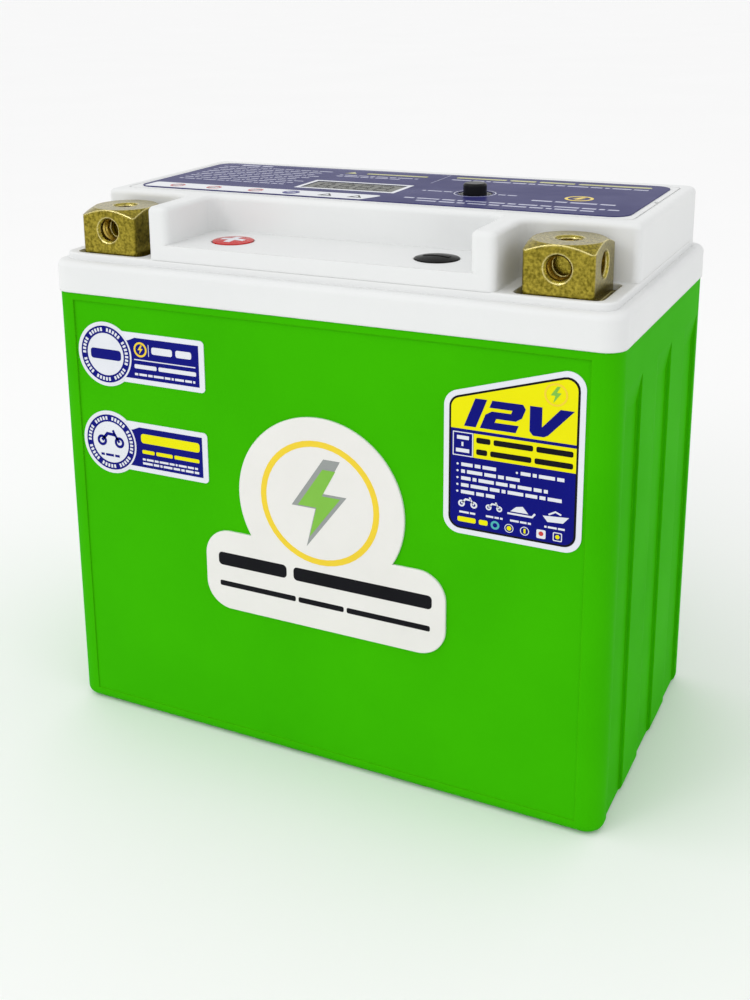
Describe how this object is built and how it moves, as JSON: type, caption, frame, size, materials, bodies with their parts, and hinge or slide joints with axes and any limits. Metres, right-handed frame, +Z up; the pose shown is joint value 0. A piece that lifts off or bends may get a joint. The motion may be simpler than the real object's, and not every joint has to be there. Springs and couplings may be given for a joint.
{
  "type": "motorcycle battery",
  "caption": "Lithium starter battery: fluted case, raised lid with two pockets holding brass post terminals, flush top plate with a display window and a push button.",
  "frame": {"origin": "on the floor, under the middle of the case", "axes": "+Z up; -Y is the front, with the terminals and the labels; +X is the side of the negative terminal"},
  "size_m": [0.135, 0.077, 0.13],
  "materials": {
    "case_green": "satin moulded, fine grain",
    "lid_white": "satin moulded",
    "label_navy": "glossy film",
    "label_blue": "glossy film",
    "label_white": "glossy film",
    "clear_lens": "clear, glossy",
    "display_glass": "liquid crystal panel, glossy",
    "white_plastic": "moulded",
    "button_black": "moulded",
    "black_plastic": "moulded",
    "marker_red": "domed, glossy",
    "marker_black": "domed, glossy",
    "brass": "machined",
    "seal_rubber": "moulded",
    "tinned_lug": "tinned",
    "lead_red": "silicone insulation",
    "lead_black": "silicone insulation",
    "cable_grey": "ribbon",
    "nickel": "nickel strip",
    "insulation": "fibreglass sheet",
    "foam": "closed-cell foam",
    "board_green": "solder mask",
    "screw_steel": "zinc plated",
    "spring_steel": "polished",
    "spreader_aluminium": "milled",
    "cell_sleeve": "shrink sleeve over a can"
  },
  "bodies": {
    "battery": {"back_pad": "foam", "board_screws": "screw_steel", "board_socket": "white_plastic", "bottom_pad": "foam", "case": "case_green", "cell_1": "cell_sleeve", "cell_2": "cell_sleeve", "cell_3": "cell_sleeve", "cell_4": "cell_sleeve", "cell_5": "cell_sleeve", "cell_6": "cell_sleeve", "cell_7": "cell_sleeve", "cell_8": "cell_sleeve", "cover_plate": "lid_white", "display_backlight": "white_plastic", "display_board": "board_green", "display_cable": "cable_grey", "display_glass": "display_glass", "display_lens": "clear_lens", "display_screws": "screw_steel", "display_socket": "white_plastic", "emblem_label": "label_white", "front_pad": "foam", "heat_spreader": "spreader_aluminium", "lead_negative": "lead_black", "lead_positive": "lead_red", "lid": "lid_white", "lower_badge": "label_white", "lower_bar_left": "nickel", "lower_bar_right": "nickel", "lower_holder": "black_plastic", "lower_sheet": "insulation", "lug_negative": "tinned_lug", "lug_positive": "tinned_lug", "lug_screws": "screw_steel", "management_board": "board_green", "minus_marker": "marker_black", "plus_marker": "marker_red", "seal_negative": "seal_rubber", "seal_positive": "seal_rubber", "sense_header": "white_plastic", "sense_wires": "lead_black", "side_pads": "foam", "switch_body": "black_plastic", "switch_dome": "spring_steel", "terminal_negative": "brass", "terminal_positive": "brass", "terminal_screws": "screw_steel", "top_label": "label_navy", "transistors": "black_plastic", "upper_badge": "label_white", "upper_bar_middle": "nickel", "upper_bar_negative": "nickel", "upper_bar_positive": "nickel", "upper_holder": "black_plastic", "upper_sheet": "insulation", "voltage_label": "label_white"},
    "button": {"button_cap": "button_black", "switch_plunger": "white_plastic"}
  },
  "joints": [
    {"name": "button_press", "type": "slide", "parent": "battery", "child": "button", "axis": [0, 0, -1], "range_m": [0, 0.001], "stiffness_N_per_m": 300, "springref_m": -0.001}
  ]
}
